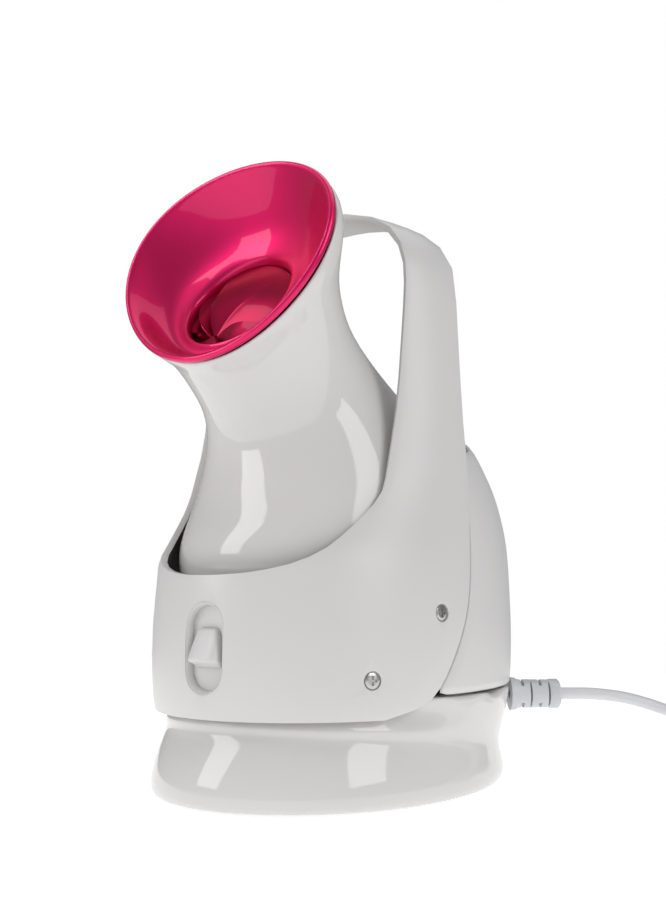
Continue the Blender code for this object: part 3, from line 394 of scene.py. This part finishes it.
# ---------------------------------------------------------------- Neck
# Gourd-shaped tower in glossy white ABS whose neck leans out to the mouth.
neck = rounded_copy("steam_tower", "leaning_neck", 2, gloss_white)
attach(neck, "housing")
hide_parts("steam_tower")

# ---------------------------------------------------------------- Deck round the neck
# Flat ring of satin ABS just under the wrap's rim.  It closes the gap between
# the neck and the shells, so that no water drips on to the board.
bpy.ops.object.select_all(action="DESELECT")
bpy.ops.mesh.primitive_cylinder_add(vertices=96, radius=1.0, depth=0.0012)
deck = bpy.context.object
deck.name = "neck_deck"
DECK_HEIGHT = 0.0762
deck.data.transform(Matrix.Translation((0, 0.0035, DECK_HEIGHT)) @ Matrix.Diagonal((0.0655, 0.0850, 1, 1)))
bpy.ops.mesh.primitive_cylinder_add(vertices=96, radius=1.0, depth=0.0100)
neck_hole = bpy.context.object
neck_hole.data.transform(Matrix.Translation((0, -0.0013, DECK_HEIGHT))
                         @ Matrix.Diagonal((0.0583, 0.0700, 1, 1)))
cut_with(deck, [neck_hole])
deck.data.materials.clear()
deck.data.materials.append(satin_white)
deck.data.shade_smooth()
deck.data.set_sharp_from_angle(angle=math.radians(40))
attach(deck, "housing")

# ---------------------------------------------------------------- Back cover
# Satin shell round the rear, with a domed top that closes on the neck.
back = rounded_copy("back_cover", "rear_shell", 1, satin_white)
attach(back, "housing")
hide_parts("back_cover")

# ---------------------------------------------------------------- Front wrap and arch
# One satin moulding: the wrap round the front, and the arch that rises from
# both its sides.  Its free edges are softly rounded.
wrap = rounded_copy("front_wrap", "wrap_and_arch", 0, satin_white)
edge = wrap.modifiers.new("edge", "BEVEL")
edge.width, edge.segments, edge.limit_method, edge.angle_limit = 0.0007, 3, "ANGLE", math.radians(50)
edge.use_clamp_overlap = True
bpy.context.view_layer.objects.active = wrap
bpy.ops.object.modifier_apply(modifier=edge.name)
wrap.data.shade_smooth()
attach(wrap, "housing")
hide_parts("front_wrap")

# ---------------------------------------------------------------- Side screws
# Cross-head screws of nickel-plated steel in shallow round recesses.
screw_steel = moulding("nickel_plate", (0.50, 0.49, 0.47), 0.26, spread=0.2, grain=1800.0, depth=0.2,
                       tint=0.2, metallic=1.0)
SCREWS = [((side * x, y, z), (-side * inward_x, inward_y, 0))
          for x, y, z, inward_x, inward_y in ((0.06498, -0.02515, 0.0693, 0.9655, 0.2604),
                                              (0.05222, -0.05385, 0.0458, 0.8339, 0.552))
          for side in (1, -1)]
for number, (place, inward) in enumerate(SCREWS, 1):
    bpy.ops.mesh.primitive_cylinder_add(vertices=32, radius=0.0028, depth=0.0010)
    head = bpy.context.object
    head.name = f"cross_head_{number}"
    bpy.ops.object.mode_set(mode="EDIT")
    bpy.ops.mesh.select_all(action="DESELECT")
    bpy.ops.object.mode_set(mode="OBJECT")
    for face in head.data.polygons:
        face.select = face.normal.z > 0.9
    bpy.ops.object.mode_set(mode="EDIT")
    bpy.ops.mesh.inset(thickness=0.0007, depth=0.00025)
    bpy.ops.object.mode_set(mode="OBJECT")
    arms = []
    for size in ((0.0034, 0.0008, 0.0014), (0.0008, 0.0034, 0.0014)):
        arms.append(cutting_block(0.0, 0.0, 0.0008, size))
    cut_with(head, arms)
    outward = -Vector(inward)
    head.data.transform(outward.to_track_quat("Z", "Y").to_matrix().to_4x4())
    head.data.transform(Matrix.Translation(Vector(place) - outward * 0.0009))
    head.data.materials.append(screw_steel)
    head.data.shade_smooth()
    head.data.set_sharp_from_angle(angle=math.radians(25))
    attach(head, "housing")
    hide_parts(f"side_screw_{number}")

# ---------------------------------------------------------------- Switch
# A sliding knob in an oval recess whose edge slopes in to a flat floor.
paint_node(satin_white, "switch_plate")
SWITCH_Z = 0.0570


def skin_front(x, z):
    """The y of the wrap's outer face in front of the switch."""
    return 0.005 - 0.0901 * math.sqrt(1 - (x / 0.0689) ** 2) + 2.2 * (z - 0.056) ** 2


def oval(half_width, half_height, inset):
    """Upright oval with straight sides, inset behind the wrap's face."""
    loop = []
    for i in range(64):
        angle = 2 * math.pi * (i + 0.5) / 64
        lift = (half_height - half_width) * (1 if math.sin(angle) > 0 else -1)
        x, z = half_width * math.cos(angle), SWITCH_Z + half_width * math.sin(angle) + lift
        loop.append(Vector((x, skin_front(x, z) + inset, z)))
    return loop


BEZEL_LOOPS = ((0.00875, 0.01645, 0.0046), (0.00875, 0.01645, 0.0005), (0.00860, 0.01630, 0.0002),
               (0.00840, 0.01610, 0.0003), (0.00765, 0.01535, 0.0022), (0.00745, 0.01515, 0.0046))
bezel = ring_piece("switch_bezel", [oval(*sizes) for sizes in BEZEL_LOOPS], False)
bezel.data.materials.append(satin_white)
bezel.data.shade_smooth()
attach(bezel, "housing")

KNOB_PROFILE = ((0.0071, -0.0816, 0.0030), (0.0070, -0.0824, 0.0036), (0.0062, -0.0829, 0.0045),
                (0.0040, -0.0837, 0.0053), (0.0010, -0.0850, 0.0060), (-0.0018, -0.0862, 0.0064),
                (-0.0034, -0.0868, 0.0065), (-0.0040, -0.0869, 0.0066), (-0.0045, -0.0867, 0.0066),
                (-0.0050, -0.0860, 0.0065), (-0.0056, -0.0842, 0.0063), (-0.0064, -0.0826, 0.0060),
                (-0.0070, -0.0818, 0.0056))
KNOB_BACK = -0.0811         # where the knob meets the recess's floor
knob_loops = []
for rise, front, half_width in KNOB_PROFILE:
    loop = []
    for i in range(25):
        angle = math.pi * i / 24
        x = half_width * math.copysign(abs(math.cos(angle)) ** 0.55, math.cos(angle))
        y = KNOB_BACK + (front - KNOB_BACK) * math.sin(angle) ** 0.35
        loop.append((x, y, SWITCH_Z + rise))
    knob_loops.append(loop)
knob = ring_piece("sliding_knob", knob_loops, True)
knob.data.materials.append(satin_white)
knob.data.shade_smooth()
knob.data.set_sharp_from_angle(angle=math.radians(55))
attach(knob, "switch_slide")
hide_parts("switch_knob")

# ---------------------------------------------------------------- Funnel
# Clear plastic bowl, metallised in magenta behind a polished face, pushed into
# the mouth.  It lifts off to let the tank be filled.
magenta = moulding("magenta_metallised", (0.72, 0.004, 0.120), 0.42, spread=0.08, grain=2600.0,
                   depth=0.10, tint=0.10, coat=0.45, metallic=0.80)
funnel = rounded_copy("nozzle_funnel", "tinted_funnel", 2, magenta)
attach(funnel, "funnel")
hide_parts("nozzle_funnel")

# ---------------------------------------------------------------- Petals in the throat
# Six overlapping blades of the same plastic curl from an off-centre hub to the
# throat's wall.  Each one's far edge stands over the next like a step.
THROAT = Vector((0.0, -0.0668, 0.1900)) + BODY_SHIFT
THROAT_TILT = math.radians(33.0)
throat_out = Vector((0, -math.cos(THROAT_TILT), math.sin(THROAT_TILT)))
throat_up = Vector((0, math.sin(THROAT_TILT), math.cos(THROAT_TILT)))
# The petals use a darker copy of the funnel's magenta: painted shade for the depth of the throat, not a
# different plastic.
magenta_painted_shade = moulding("magenta_painted_shade", (0.34, 0.0008, 0.040), 0.36, spread=0.08, grain=2600.0,
                        depth=0.06, tint=0.15, coat=0.2, metallic=0.92)
PETAL_HUB = Vector((-0.0080, -0.0150))
PETAL_REACH = 0.0226
PETAL_ROWS = 18
PETAL_EDGES = ((31, 128), (128, 171), (171, 212), (212, 266), (266, 320), (-40, 31))


def petal_point(angle, share, depth):
    """Point on the curved way from the hub to the throat's wall."""
    wall = Vector((math.cos(angle), math.sin(angle))) * PETAL_REACH
    way = wall - PETAL_HUB
    swirl = 0.42 * (1 - share) ** 1.2
    place = PETAL_HUB + Vector((way.x * math.cos(swirl) - way.y * math.sin(swirl),
                                way.x * math.sin(swirl) + way.y * math.cos(swirl))) * share
    if place.length > PETAL_REACH:
        place = place.normalized() * PETAL_REACH
    return THROAT + Vector((place.x, 0, 0)) + throat_up * place.y + throat_out * depth


for petal, (low_edge, high_edge) in enumerate(PETAL_EDGES):
    rows = []
    for i in range(PETAL_ROWS + 2):
        u = min(i, PETAL_ROWS) / PETAL_ROWS
        row = []
        for j in range(17):
            s = 0.04 + 0.96 * j / 16
            angle = math.radians(low_edge + (high_edge - low_edge) * u)
            lift = 0.0050 * u ** 1.4 + 0.0012 * math.sin(math.pi * u)
            depth = -0.0060 + lift * math.sin(0.5 * math.pi * min(1.0, 1.5 * s)) * (1 - 0.35 * s * s)
            if i > PETAL_ROWS:                # the edge turns down like a step
                angle += 0.02
                depth = -0.0068
            row.append(petal_point(angle, s, depth))
        rows.append(row)
    shape = bmesh.new()
    grid = [[shape.verts.new(p) for p in row] for row in rows]
    for lower, upper in zip(grid, grid[1:]):
        for a in range(16):
            shape.faces.new((lower[a], lower[a + 1], upper[a + 1], upper[a]))
    bmesh.ops.recalc_face_normals(shape, faces=shape.faces)
    if sum(face.normal.dot(throat_out) for face in shape.faces) < 0:
        bmesh.ops.reverse_faces(shape, faces=shape.faces)
    mesh = bpy.data.meshes.new(f"throat_petal_{petal + 1}")
    shape.to_mesh(mesh)
    shape.free()
    blade = bpy.data.objects.new(mesh.name, mesh)
    bpy.context.scene.collection.objects.link(blade)
    bpy.context.view_layer.objects.active = blade
    for kind, settings in (("SOLIDIFY", {"thickness": 0.0011, "offset": -1.0}),
                           ("BEVEL", {"width": 0.0003, "segments": 2, "limit_method": "ANGLE"}),
                           ("SUBSURF", {"levels": 1, "render_levels": 1})):
        finish = blade.modifiers.new(kind, kind)
        for key, value in settings.items():
            setattr(finish, key, value)
        bpy.ops.object.modifier_apply(modifier=finish.name)
    blade.data.materials.append(magenta_painted_shade)
    blade.data.shade_smooth()
    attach(blade, "funnel")
    if petal == 0:
        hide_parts("throat_vanes")
